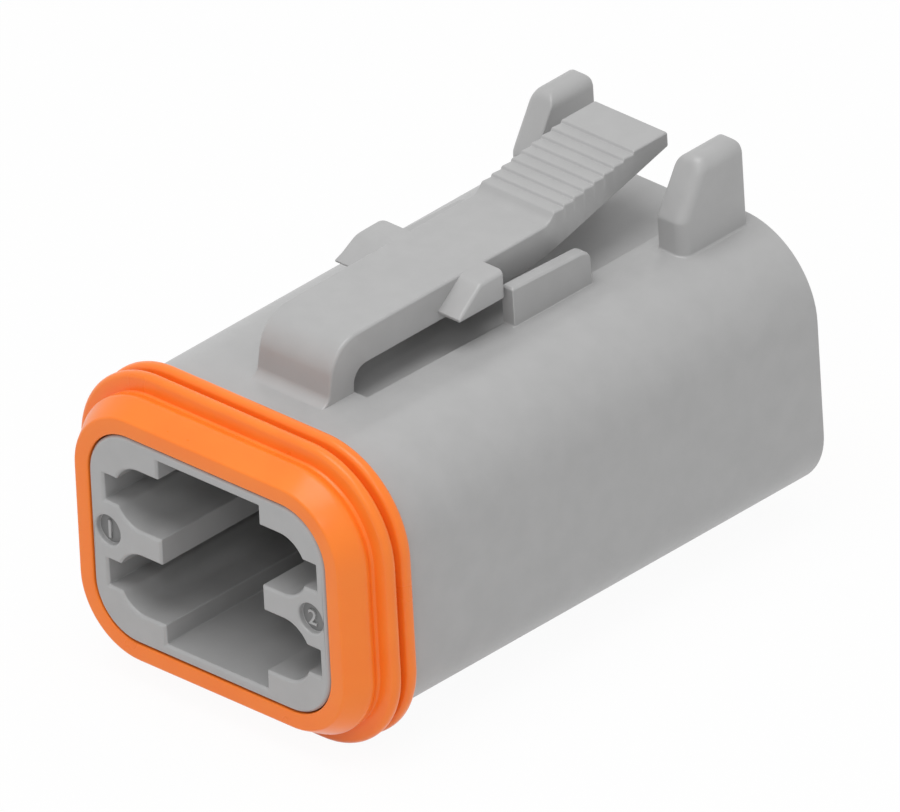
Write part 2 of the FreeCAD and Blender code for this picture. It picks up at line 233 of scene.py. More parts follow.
# Orange silicone rubber, compression moulded and washed. It is slightly waxy: light enters a
# little way, red the furthest, so that thin edges glow, and the surface has a soft sheen with
# faint cloudiness where mould release dried.
SILICONE = MouldedFinish(
    name="silicone_compression_moulded_orange",
    colours=("#fd8029", "#ff862d"),
    mottle_mm=3.0,
    mottle_detail=2.0,
    grain_mm=0.2,
    grain_depth_mm=0.004,
    grain_strength=0.4,
    roughness=(0.27, 0.35),
    roughness_follows="mottle",
    index=1.41,
    glow=0.06,
)


# Shapes worked out with numpy


def rounded_outline(corners: np.ndarray, radii: np.ndarray, steps: int) -> np.ndarray:
    """Polygon with an arc at each corner.

    At a corner P with unit directions a and b to its neighbours and half angle h between them,
    the arc starts at P + a r / tan h, ends at P + b r / tan h, and its centre lies at
    P + (a + b) / |a + b| * r / sin h. The arc's points turn evenly about the centre from the
    start to the end.

    Args:
        corners: (n, 2) corners of the closed polygon.
        radii: (n,) radius at each corner, above 0.
        steps: points on each arc.

    Returns:
        (n * steps, 2) points of the closed outline.
    """
    before = np.roll(corners, 1, axis=0) - corners
    after = np.roll(corners, -1, axis=0) - corners
    before /= np.linalg.norm(before, axis=1, keepdims=True)
    after /= np.linalg.norm(after, axis=1, keepdims=True)
    half = np.arccos(np.clip((before * after).sum(1), -1, 1)) / 2
    middle = before + after
    middle /= np.linalg.norm(middle, axis=1, keepdims=True)
    centre = corners + middle * (radii / np.sin(half))[:, None]
    cut_back = (radii / np.tan(half))[:, None]
    first = (corners + before * cut_back - centre) / radii[:, None]
    last = (corners + after * cut_back - centre) / radii[:, None]
    turn = (math.pi - 2 * half)[:, None, None]
    share = np.linspace(0, 1, steps)[None, :, None]
    mixed = np.sin((1 - share) * turn) * first[:, None] + np.sin(share * turn) * last[:, None]
    return (centre[:, None] + mixed / np.sin(turn) * radii[:, None, None]).reshape(-1, 2)


def arc_fall(past: np.ndarray, radius: float) -> np.ndarray:
    """Fall r - sqrt(r^2 - d^2) of a quarter circle from its tangent, at a distance d along it.

    Args:
        past: distances d, taken as 0 before the arc and as r past its end.
        radius: radius r.

    Returns:
        The falls.
    """
    past = np.clip(past, 0, radius)
    return radius - np.sqrt(radius**2 - past**2)


def rectangle_path(
    width: float, height: float, radius: float, steps: int = 28
) -> tuple[np.ndarray, np.ndarray]:
    """Rounded rectangle in (x, z) about the axis, with its outward directions.

    Each corner is a quarter circle about the corner centre, and the straight sides are the
    runs between one quarter circle and the next.

    Args:
        width: overall size in X.
        height: overall size in Z.
        radius: corner radius.
        steps: points on each quarter circle.

    Returns:
        (4 * steps, 2) points and (4 * steps, 2) outward unit directions.
    """
    quarter = np.linspace(0, math.pi / 2, steps)
    angles = (np.arange(4)[:, None] * math.pi / 2 + quarter).ravel()
    outward = np.column_stack([np.cos(angles), np.sin(angles)])
    signs = np.repeat(np.array([[1, 1], [-1, 1], [-1, -1], [1, -1]]), steps, axis=0)
    centres = signs * np.array([width / 2 - radius, height / 2 - radius])
    return centres + outward * radius, outward


def run_along(points: np.ndarray) -> np.ndarray:
    """Distance from the first point to each point, along the line through them all.

    Args:
        points: (n, 2) points.

    Returns:
        (n,) distances.
    """
    return np.append(0, np.cumsum(np.linalg.norm(np.diff(points, axis=0), axis=1)))


def quad_faces(rows: int, columns: int, wrap_rows: bool, wrap_columns: bool) -> np.ndarray:
    """Corner numbers of the quads on a grid of vertices.

    The quad at row i and column j has the corners (i, j), (i, j + 1), (i + 1, j + 1), (i + 1, j),
    and a wrapped direction joins its last line to its first.

    Args:
        rows: vertex rows.
        columns: vertex columns.
        wrap_rows: whether the last row joins the first.
        wrap_columns: whether the last column joins the first.

    Returns:
        (quads, 4) vertex numbers.
    """
    i, j = np.meshgrid(
        np.arange(rows if wrap_rows else rows - 1),
        np.arange(columns if wrap_columns else columns - 1),
        indexing="ij",
    )
    row, row_below = i * columns, (i + 1) % rows * columns
    right = (j + 1) % columns
    return np.stack([row + j, row + right, row_below + right, row_below + j], -1).reshape(-1, 4)


def link_object(name: str, data: ID) -> Object:
    """Makes an object at the origin and links it to the scene.

    Args:
        name: the object's name.
        data: its mesh, curve, lamp or camera.

    Returns:
        The object.
    """
    item = bpy.data.objects.new(name, data)
    bpy.context.scene.collection.objects.link(item)
    return item


def vertex_places(mesh: Mesh) -> np.ndarray:
    """Reads the vertices of a mesh.

    Args:
        mesh: the mesh.

    Returns:
        (n, 3) places in millimetres.
    """
    places = np.empty(len(mesh.vertices) * 3)
    mesh.vertices.foreach_get("co", places)
    return places.reshape(-1, 3) / MM


def new_object(name: str, vertices_mm: np.ndarray, faces: list[list[int]]) -> Object:
    """Makes an object at the origin from vertices in millimetres, with faces pointing outwards.

    Args:
        name: the object's name.
        vertices_mm: (n, 3) vertex places.
        faces: vertex numbers of each face.

    Returns:
        The object, linked to the scene.
    """
    mesh = bpy.data.meshes.new(name)
    mesh.from_pydata((vertices_mm * MM).tolist(), [], faces)
    shape = bmesh.new()
    shape.from_mesh(mesh)
    bmesh.ops.remove_doubles(shape, verts=shape.verts, dist=WELD_MM * MM)
    bmesh.ops.recalc_face_normals(shape, faces=shape.faces)
    shape.to_mesh(mesh)
    shape.free()
    mesh.validate()
    return link_object(name, mesh)


def closed_sweep(name: str, grid_mm: np.ndarray) -> Object:
    """Solid from cross-section loops along a run, closed by a face at each end.

    Args:
        name: the object's name.
        grid_mm: (stations, loop points, 3) vertex places.

    Returns:
        The object.
    """
    rows, columns = grid_mm.shape[:2]
    faces = quad_faces(rows, columns, False, True).tolist()
    faces.append(list(range(columns)))
    faces.append(list(range((rows - 1) * columns, rows * columns)))
    return new_object(name, grid_mm.reshape(-1, 3), faces)


def ring_solid(name: str, path: np.ndarray, outward: np.ndarray, section: np.ndarray) -> Object:
    """Ring whose closed section is carried round a path in the XZ plane.

    The vertex for path point k and section point s lies at path k plus outward k times the
    section's distance, at the section's y.

    Args:
        name: the object's name.
        path: (n, 2) path in (x, z).
        outward: (n, 2) outward unit directions.
        section: (m, 2) section as (outward distance, y).

    Returns:
        The object.
    """
    flat = path[:, None] + outward[:, None] * section[None, :, :1]
    y = np.broadcast_to(section[None, :, 1], flat.shape[:2])
    grid = np.stack([flat[..., 0], y, flat[..., 1]], -1)
    faces = quad_faces(len(path), len(section), True, True).tolist()
    return new_object(name, grid.reshape(-1, 3), faces)


def rounded_sections(
    outer: np.ndarray,
    inner: np.ndarray,
    half_width: np.ndarray,
    outer_round: np.ndarray,
    inner_round: np.ndarray,
) -> np.ndarray:
    """Rounded rectangles between two sides of a bar that runs in the YZ plane.

    At each station the depth direction runs from the inner to the outer point. A corner of radius
    r starts on the flank at depth r and ends on the side at distance r from the flank: its points
    lie r (1 - cos a) in from the flank and r (1 - sin a) below the side, for a from 0 to 90
    degrees.

    Args:
        outer: (n, 2) points (y, z) of the outer side.
        inner: (n, 2) points of the inner side.
        half_width: (n,) half of the width in X.
        outer_round: (n,) corner radius along the outer side.
        inner_round: (n,) corner radius along the inner side.

    Returns:
        (n, 20, 3) section loops.
    """
    depth = outer - inner
    depth /= np.linalg.norm(depth, axis=1, keepdims=True)
    turn = np.linspace(0, math.pi / 2, 5)
    arcs = []
    for side, inward, radius in ((outer, -1, outer_round), (inner, 1, inner_round)):
        across = half_width[:, None] - radius[:, None] * (1 - np.cos(turn))
        below = radius[:, None] * (1 - np.sin(turn)) * inward
        points = side[:, None] + depth[:, None] * below[..., None]
        for flip in (False, True):
            left = flip != (inward == -1)
            x = -across if left else across
            arc = np.concatenate([x[..., None], points], -1)
            arcs.append(arc[:, ::-1] if flip else arc)
    return np.concatenate(arcs, 1)


def body_height(x: np.ndarray) -> np.ndarray:
    """Height of the body's top side at x.

    It is flat to the shoulder's start s, and then z = c + sqrt(r^2 - (x - s)^2).

    Args:
        x: distances from the middle.

    Returns:
        Heights.
    """
    past = np.clip(x - SHOULDER_START, 0, None)
    return BODY_TOP - SHOULDER_RADIUS + np.sqrt(SHOULDER_RADIUS**2 - past**2)


def weld_copy(node: Object, name: str) -> Object:
    """Copies a CAD node, welds its loose triangles and joins those that lie in one plane.

    Args:
        node: the CAD node's object.
        name: name of the copy.

    Returns:
        The copy, linked to the scene and riding on nothing yet.
    """
    mesh = bpy.data.meshes.new(name)
    shape = bmesh.new()
    shape.from_mesh(node.data)
    bmesh.ops.remove_doubles(shape, verts=shape.verts, dist=WELD_MM * MM)
    bmesh.ops.dissolve_limit(
        shape,
        angle_limit=math.radians(FLAT_DEGREES),
        verts=shape.verts,
        edges=shape.edges,
        use_dissolve_boundaries=False,
    )
    shape.to_mesh(mesh)
    shape.free()
    return link_object(name, mesh)


def combine(base: Object, operation: str, *others: Object) -> None:
    """Joins other solids to a base solid, or cuts them out of it, and removes them.

    Args:
        base: the solid that changes.
        operation: "UNION" or "DIFFERENCE".
        others: the solids that it takes in or loses.
    """
    for other in others:
        modifier = base.modifiers.new("combined", "BOOLEAN")
        modifier.operation = operation
        modifier.solver = "EXACT"
        modifier.object = other
        graph = bpy.context.evaluated_depsgraph_get()
        joined = bpy.data.meshes.new_from_object(base.evaluated_get(graph))
        base.modifiers.clear()
        base.data = joined
        bpy.data.objects.remove(other)


def shade_piece(item: Object, angle: float) -> None:
    """Shades a piece smooth up to an angle, with the shading of its flats kept flat.

    Args:
        item: the piece.
        angle: least turn of an edge that stays sharp, in degrees.
    """
    item.data.shade_smooth()
    item.data.set_sharp_from_angle(angle=math.radians(angle))
    normals = item.modifiers.new("flat_face_shading", "WEIGHTED_NORMAL")
    normals.keep_sharp = True


def soften_edges(
    item: Object,
    width_mm: float,
    zones: tuple[Zone, ...] = (),
    loops: tuple[Zone, ...] = (),
    least_mm: float = 0.02,
) -> None:
    """Rounds the sharp edges of a piece with a bevel, and shades the rest smooth.

    An edge is sharp where its two faces turn by more than SHARP_DEGREES. It gets the usual width,
    or the width of the last zone that its middle lies in, and never more than a third of the
    shortest edge at its ends. Faces with many corners are then cut into triangles.

    Args:
        item: the piece.
        width_mm: usual bevel width.
        zones: lowest corner, highest corner and bevel width of each zone.
        loops: the same for zones that hold one even loop of edges, which needs no limit.
        least_mm: an edge that would get a narrower bevel stays sharp.
    """
    mesh = item.data
    shape = bmesh.new()
    shape.from_mesh(mesh)
    turn = np.array([edge.calc_face_angle(0.0) for edge in shape.edges])
    shape.free()
    ends = np.empty(len(mesh.edges) * 2, dtype=np.int64)
    mesh.edges.foreach_get("vertices", ends)
    ends = ends.reshape(-1, 2)
    corner = vertex_places(mesh)[ends]
    length = np.linalg.norm(corner[:, 0] - corner[:, 1], axis=1)
    shortest = np.full(len(mesh.vertices), np.inf)
    np.minimum.at(shortest, ends[:, 0], length)
    np.minimum.at(shortest, ends[:, 1], length)
    widths = np.full(len(mesh.edges), width_mm)
    middle = corner.mean(1)
    limit = shortest[ends].min(1) / 3
    for zone in [*zones, *loops]:
        low, high, zone_width = zone
        inside = ((middle > np.array(low)) & (middle < np.array(high))).all(1)
        widths[inside] = zone_width
        if zone in loops:
            limit[inside] = zone_width
    widths = np.minimum(widths, limit)
    sharp = turn >= math.radians(SHARP_DEGREES)
    widths[(widths < least_mm) | ~sharp] = 0
    widest = widths.max()
    layer = mesh.attributes.new("bevel_weight_edge", "FLOAT", "EDGE")
    layer.data.foreach_set("value", (widths / widest).astype(np.float32))
    bevel = item.modifiers.new("edge_round", "BEVEL")
    bevel.limit_method = "WEIGHT"
    bevel.width = widest * MM
    bevel.segments = 3
    bevel.use_clamp_overlap = False
    bevel.miter_outer = "MITER_ARC"
    splitter = item.modifiers.new("large_faces_split", "TRIANGULATE")
    splitter.min_vertices = 5
    shade_piece(item, SHARP_DEGREES)
    LOG.info("%s: %d of %d sharp edges rounded", item.name, (widths > 0).sum(), sharp.sum())


def finish_piece(item: Object, material: Material, body: Body | None, slot: Slot, *replaced: str) -> None:
    """Gives a new piece its material and its body, and hides the CAD nodes that it stands for.

    Args:
        item: the piece.
        material: its material.
        body: the body that it rides on, or None for a piece that rides on no body.
        slot: not used.
        replaced: names of the CAD nodes that it stands for.
    """
    item.data.materials.clear()
    item.data.materials.append(material)
    if body:
        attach(item, body.value)
    if replaced:
        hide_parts(*replaced)
    LOG.info("%s: %d vertices", item.name, len(item.data.vertices))


# Sub-assemblies


@dataclass
class HousingMoulding:
    """The housing's skin, with softened edges and the raised numbers in its two face marks."""

    edge_round: float = 0.12
    round_zones: tuple[Zone, ...] = (
        ((-9.0, -1.0, -7.0), (9.0, 0.3, 7.0), 0.05),
        ((-8.0, 28.0, -6.9), (8.0, 38.9, 6.9), 0.06),
        ((-5.2, 20.8, 8.9), (5.2, 28.0, 11.5), 0.05),
    )
    root_cut_z: float = 8.861
    root_half_width: float = 3.0
    root_y: Pair = (6.5, 12.0)
    mark_x: float = 8.12
    mark_radius: float = 0.97
    mark_reach: float = 1.03
    mark_round: float = 0.13
    mark_depth: float = 0.42
    old_floor_y: Pair = (0.1, 0.5)
    floor_points: int = 48
    floor_y: Pair = (-0.01, 0.05)
    floor_overlap: float = 1.01
    digit_heights: Pair = (1.24, 1.02)
    digit_place: Pair = (-0.12, -0.14)
    digit_depth: float = 0.12
    digit_round: float = 0.02
    text_size_per_height: float = 1.35
    rail_x: Pair = (3.9, 5.15)
    rail_y: Pair = (21.07, 27.67)
    rail_margin: float = 0.1
    rail_upper_z: float = 10.2
    rail_lift: float = 0.26
    ear_space_x: Pair = (4.6, 7.9)
    ear_space_y: Pair = (32.2, 38.9)
    ear_space_top: float = 15.0
    ear_space_rise: float = 0.003

    def build(self, nodes: dict[str, Object], material: Material) -> None:
        """Builds and dresses the housing.

        Args:
            nodes: the CAD nodes by name.
            material: the plastic.
        """
        skin = weld_copy(nodes["housing"], "housing_moulding")
        self.trim_root(skin)
        self.shape_details(skin)
        combine(skin, "DIFFERENCE", self.ear_space(1), self.ear_space(-1))
        r = self.mark_radius
        centres = (-self.mark_x, self.mark_x)
        rims = tuple(((x - r, -0.05, -r), (x + r, 0.05, r), self.mark_round) for x in centres)
        soften_edges(skin, self.edge_round, self.round_zones, rims)
        finish_piece(skin, material, Body.PLUG, Slot.PLASTIC, "housing")
        # The mark floors take the darker nylon, whose grey is painted shade in the recesses.
        mark_shade_material = MARK_SHADE_NYLON.material()
        for number, side, height in (("1", -1, self.digit_heights[0]), ("2", 1, self.digit_heights[1])):
            self.add_mark_floor(side, mark_shade_material)
            self.add_number(number, side * self.mark_x, height, material)

    def shape_details(self, skin: Object) -> None:
        """Deepens the two face marks, and lets the rails rise towards the front.

        A rail's upper vertices rise by a share of the lift that grows evenly from 0 at the rail's
        back to 1 at its front.
        """
        mesh = skin.data
        x, y, z = vertex_places(mesh).T
        in_mark = np.hypot(abs(x) - self.mark_x, z) < self.mark_radius * self.mark_reach
        floor_front, floor_back = self.old_floor_y
        y = np.where(in_mark & (y > floor_front) & (y < floor_back), self.mark_depth, y)
        inner, outer = self.rail_x
        front, back = self.rail_y
        on_rail = (y > front - self.rail_margin) & (y < back + self.rail_margin)
        on_rail &= (abs(x) > inner) & (abs(x) < outer)
        share = np.clip((back - y) / (back - front), 0, 1)
        z = z + np.where(on_rail & (z > self.rail_upper_z), self.rail_lift * share, 0)
        mesh.vertices.foreach_set("co", (np.column_stack([x, y, z]) * MM).ravel())
        mesh.update()

    def ear_space(self, side: int) -> Object:
        """The space over the body where a guard ear stands, down to the body's own skin.

        Args:
            side: 1 for the right side and -1 for the left.

        Returns:
            The space as a solid.
        """
        x = np.linspace(*self.ear_space_x, 40)
        floor = np.column_stack([x, body_height(x) + self.ear_space_rise])
        outline = np.vstack([floor, [x[-1], self.ear_space_top], [x[0], self.ear_space_top]])
        across, up = outline[:, 0] * side, outline[:, 1]
        loops = [np.column_stack([across, np.full(len(outline), y), up]) for y in self.ear_space_y]
        return closed_sweep("ear_space", np.stack(loops))

    def trim_root(self, skin: Object) -> None:
        """Cuts the latch root's seat off above the body, where the latch moulding covers it."""
        shape = bmesh.new()
        shape.from_mesh(skin.data)
        low, high = self.root_y

        def in_root(point: Vector) -> bool:
            inside = abs(point.x) < self.root_half_width * MM and low * MM < point.y < high * MM
            return inside and point.z > self.root_cut_z * MM

        faces = [face for face in shape.faces if any(in_root(vert.co) for vert in face.verts)]
        edges = dict.fromkeys(edge for face in faces for edge in face.edges)
        verts = dict.fromkeys(vert for face in faces for vert in face.verts)
        cut = bmesh.ops.bisect_plane(
            shape,
            geom=[*faces, *edges, *verts],
            plane_co=Vector((0, 0, self.root_cut_z * MM)),
            plane_no=Vector((0, 0, 1)),
            clear_outer=True,
        )
        rim = [part for part in cut["geom_cut"] if isinstance(part, bmesh.types.BMEdge)]
        bmesh.ops.edgeloop_fill(shape, edges=rim)
        shape.to_mesh(skin.data)
        shape.free()

    def add_mark_floor(self, side: int, material: Material) -> None:
        """Lays the floor of a face mark: a thin disc about the Y axis, in a darker grey that paints the
        recess's shade.

        Args:
            side: 1 for the right mark and -1 for the left.
            material: the darker, rougher plastic, whose darker grey is painted shade.
        """
        count, radius = self.floor_points, self.mark_radius * self.floor_overlap
        angles = np.arange(count) * 2 * math.pi / count
        x = side * self.mark_x + radius * np.cos(angles)
        depths = [self.mark_depth + y for y in self.floor_y]
        loops = [np.column_stack([x, np.full(count, y), radius * np.sin(angles)]) for y in depths]
        item = closed_sweep(f"mark_floor_{'right' if side > 0 else 'left'}", np.stack(loops))
        finish_piece(item, material, Body.PLUG, Slot.PLASTIC)

    def add_number(self, digit: str, x: float, height: float, material: Material) -> None:
        """Raises one plain number on the floor of a face mark.

        Args:
            digit: the number.
            x: the mark's centre.
            height: the number's height.
            material: the plastic.
        """
        curve = bpy.data.curves.new(f"number_{digit}", "FONT")
        curve.body = digit
        curve.align_x = "CENTER"
        curve.align_y = "CENTER"
        curve.size = height * MM * self.text_size_per_height
        curve.extrude = self.digit_depth * MM / 2
        curve.bevel_depth = self.digit_round * MM
        text = link_object(f"number_{digit}_text", curve)
        graph = bpy.context.evaluated_depsgraph_get()
        mesh = bpy.data.meshes.new_from_object(text.evaluated_get(graph))
        bpy.data.objects.remove(text)
        # The text is written in XY and stands in XZ, facing the mating side.
        mesh.transform(Matrix.Rotation(math.radians(90), 4, "X"))
        across, up = self.digit_place
        place = Vector((x + across, self.mark_depth - self.digit_depth / 2, up))
        mesh.transform(Matrix.Translation(place * MM))
        finish_piece(link_object(f"number_{digit}", mesh), material, Body.PLUG, Slot.PLASTIC)


@dataclass
class GuardEars:
    """The two ears beside the press pad: an upright foot, a sloping front and a rounded crown."""

    right: tuple[float, float, int] = (5.14, 7.17, 1)
    left: tuple[float, float, int] = (4.76, 6.82, -1)
    front_y: float = 32.95
    back_y: float = 38.3
    bottom: float = 8.0
    foot_round: float = 0.14
    upright_z: Pair = (9.6, 10.2)
    crease_z: float = 10.98
    crease_round: float = 0.1
    crease_steps: tuple[float, ...] = (-0.3, -0.18, -0.09, -0.04, 0.0, 0.04, 0.09, 0.18, 0.3)
    top: float = 14.43
    front_slope: float = 0.608
    plan_rounds: Four = (0.2, 0.2, 0.14, 0.75)
    crown_rounds: Four = (0.9, 0.8, 0.45, 0.8)
    sharp_degrees: float = 40.0

    def heights(self) -> np.ndarray:
        """Heights of the sections above the foot, close together at the crease and the crown."""
        near_crease = self.crease_z + np.array(self.crease_steps)
        crown_start = self.top - max(self.crown_rounds)
        flank = np.linspace(self.crease_z + 2 * self.crease_steps[-1], crown_start, 8)
        crown = crown_start + max(self.crown_rounds) * np.sin(np.linspace(0, math.pi / 2, 15)[1:])
        return np.concatenate([self.upright_z, near_crease, flank, crown])

    def ear(self, inner_x: float, outer_x: float, side: int) -> Object:
        """One ear as a stack of sections, each a rectangle with four round corners.

        Near the top a side draws in by r - sqrt(r^2 - d^2), where r is the crown's radius on that
        side and d is the height above the crown's start. The front lies at
        s (d + sqrt(d^2 + k^2)) / 2 behind the foot's front, where s is the slope and d the height
        above the crease, and ends in an arc that touches the slope and the top. The foot spreads
        by f - sqrt(f^2 - d^2), where d is the depth below the foot's start, and its sections
        follow the body's skin.

        Args:
            inner_x: distance of its inner side from the middle.
            outer_x: distance of its outer side from the middle.
            side: 1 for the right side and -1 for the left.

        Returns:
            The ear.
        """
        foot = self.foot_round * (1 - np.sin(np.linspace(0, math.pi / 2, 8)[::-1]))
        over_body = np.concatenate([[self.bottom - BODY_TOP], foot])
        upper = self.heights()
        z = np.concatenate([BODY_TOP + over_body, upper])
        spread = arc_fall(self.foot_round - np.maximum(z - BODY_TOP, 0), self.foot_round)
        outer_round, inner_round, back_round, front_round = self.crown_rounds
        above = z - self.crease_z
        past_crease = (above + np.sqrt(above**2 + self.crease_round**2)) / 2
        slope_front = self.front_y + self.front_slope * past_crease
        lean = math.atan(self.front_slope)
        reach = front_round * math.tan((math.pi / 2 - lean) / 2)
        arc_centre = self.front_y + self.front_slope * (self.top - self.crease_z) + reach
        in_arc = z > self.top - reach * math.cos(lean)
        rise = np.clip(z - self.top + front_round, 0, front_round)
        front = np.where(in_arc, arc_centre - np.sqrt(front_round**2 - rise**2), slope_front) - spread
        outer = outer_x - arc_fall(z - self.top + outer_round, outer_round) + spread
        inner = inner_x + arc_fall(z - self.top + inner_round, inner_round) - spread
        back = self.back_y - arc_fall(z - self.top + back_round, back_round) + spread
        radii = np.minimum(np.array(self.plan_rounds) + spread[:, None], 0.45 * (outer - inner)[:, None])
        signs = np.array([[1, 1], [-1, 1], [-1, -1], [1, -1]])
        corner_x = np.column_stack([outer, inner, inner, outer])
        corner_y = np.column_stack([back, back, front, front])
        turn = np.arange(4)[:, None] * math.pi / 2 + np.linspace(0, math.pi / 2, 9)
        x = (corner_x - signs[:, 0] * radii)[..., None] + radii[..., None] * np.cos(turn)
        y = (corner_y - signs[:, 1] * radii)[..., None] + radii[..., None] * np.sin(turn)
        level = np.broadcast_to(z[:, None, None], x.shape).copy()
        in_foot = len(over_body)
        level[1:in_foot] += body_height(x[1:in_foot]) - BODY_TOP
        grid = np.stack([x * side, y, level], -1).reshape(len(z), -1, 3)
        return closed_sweep(f"guard_ear_{'right' if side > 0 else 'left'}", grid)

    def build(self, material: Material) -> None:
        """Builds the ears.

        Args:
            material: the plastic.
        """
        for sizes in (self.right, self.left):
            item = self.ear(*sizes)
            shade_piece(item, self.sharp_degrees)
            finish_piece(item, material, Body.PLUG, Slot.PLASTIC)


@dataclass(frozen=True)
class LugSize:
    """Sizes of one catch lug."""

    side: int
    reach: float
    front_y: float
    back_y: float
    bottom: float
    nose_height: float
    ramp_length: float


@dataclass
class CatchLugs:
    """The lugs on the arm's two sides: a ramp in front, a square back, and rounded outer edges."""

    arm_half_width: float = 2.925
    sunk: float = 0.6
    top: float = 12.6
    right: LugSize = LugSize(1, 1.7, 16.95, 20.85, 10.85, 0.2, 1.95)
    left: LugSize = LugSize(-1, 2.28, 16.8, 20.72, 11.45, 0.15, 1.8)
    ramp_round: float = 0.14
    top_round: float = 0.24
    back_round: float = 0.28
    bottom_round: float = 0.08

    def lug(self, size: LugSize) -> Object:
        """One lug as a solid of its own, swept from its nose to its back.

        The top height is the lower of the ramp's line a and the flat top b, taken as
        (a + b - sqrt((a - b)^2 + k^2)) / 2, which rounds their corner. Towards an end the outer
        face draws in by r - sqrt(r^2 - d^2), where d is the distance past the point one radius
        before that end.

        Args:
            size: the lug's side, reach and places.

        Returns:
            The lug.
        """
        ease = 1 - np.cos(np.linspace(0, math.pi / 2, 7))
        front_y, back_y = size.front_y, size.back_y
        y = np.concatenate(
            [
                front_y + self.bottom_round * ease,
                np.linspace(front_y + self.bottom_round, back_y - self.back_round, 40)[1:-1],
                back_y - self.back_round * ease[::-1],
            ]
        )
        ramp_foot = size.bottom + size.nose_height
        ramp = ramp_foot + (y - front_y) * (self.top - ramp_foot) / size.ramp_length
        top = (ramp + self.top - np.sqrt((ramp - self.top) ** 2 + self.ramp_round**2)) / 2
        top = np.maximum(top, size.bottom + size.nose_height * 0.9)
        front_in = arc_fall(front_y + self.bottom_round - y, self.bottom_round)
        back_in = arc_fall(y - back_y + self.back_round, self.back_round)
        outside = self.arm_half_width + size.reach - front_in - back_in
        bottom = size.bottom + front_in * 0.9
        inside = np.full(len(y), self.arm_half_width - self.sunk)
        turn = np.linspace(0, math.pi / 2, 6)
        near, far = 1 - np.sin(turn), 1 - np.cos(turn)
        out = outside[:, None]
        top_round = np.minimum(self.top_round, 0.5 * (top - bottom))[:, None]
        top_arc = np.stack([out - top_round * near, top[:, None] - top_round * far], -1)
        low_round = np.minimum(self.bottom_round, 0.3 * (top - bottom))[:, None]
        low_arc = np.stack([out - low_round * far, bottom[:, None] + low_round * near], -1)
        root_low = np.column_stack([inside, bottom])[:, None]
        root_top = np.column_stack([inside, top])[:, None]
        loop = np.concatenate([root_low, root_top, top_arc, low_arc], 1)
        along = np.broadcast_to(y[:, None], loop.shape[:2])
        grid = np.stack([loop[..., 0] * size.side, along, loop[..., 1]], -1)
        return closed_sweep("lug", grid)


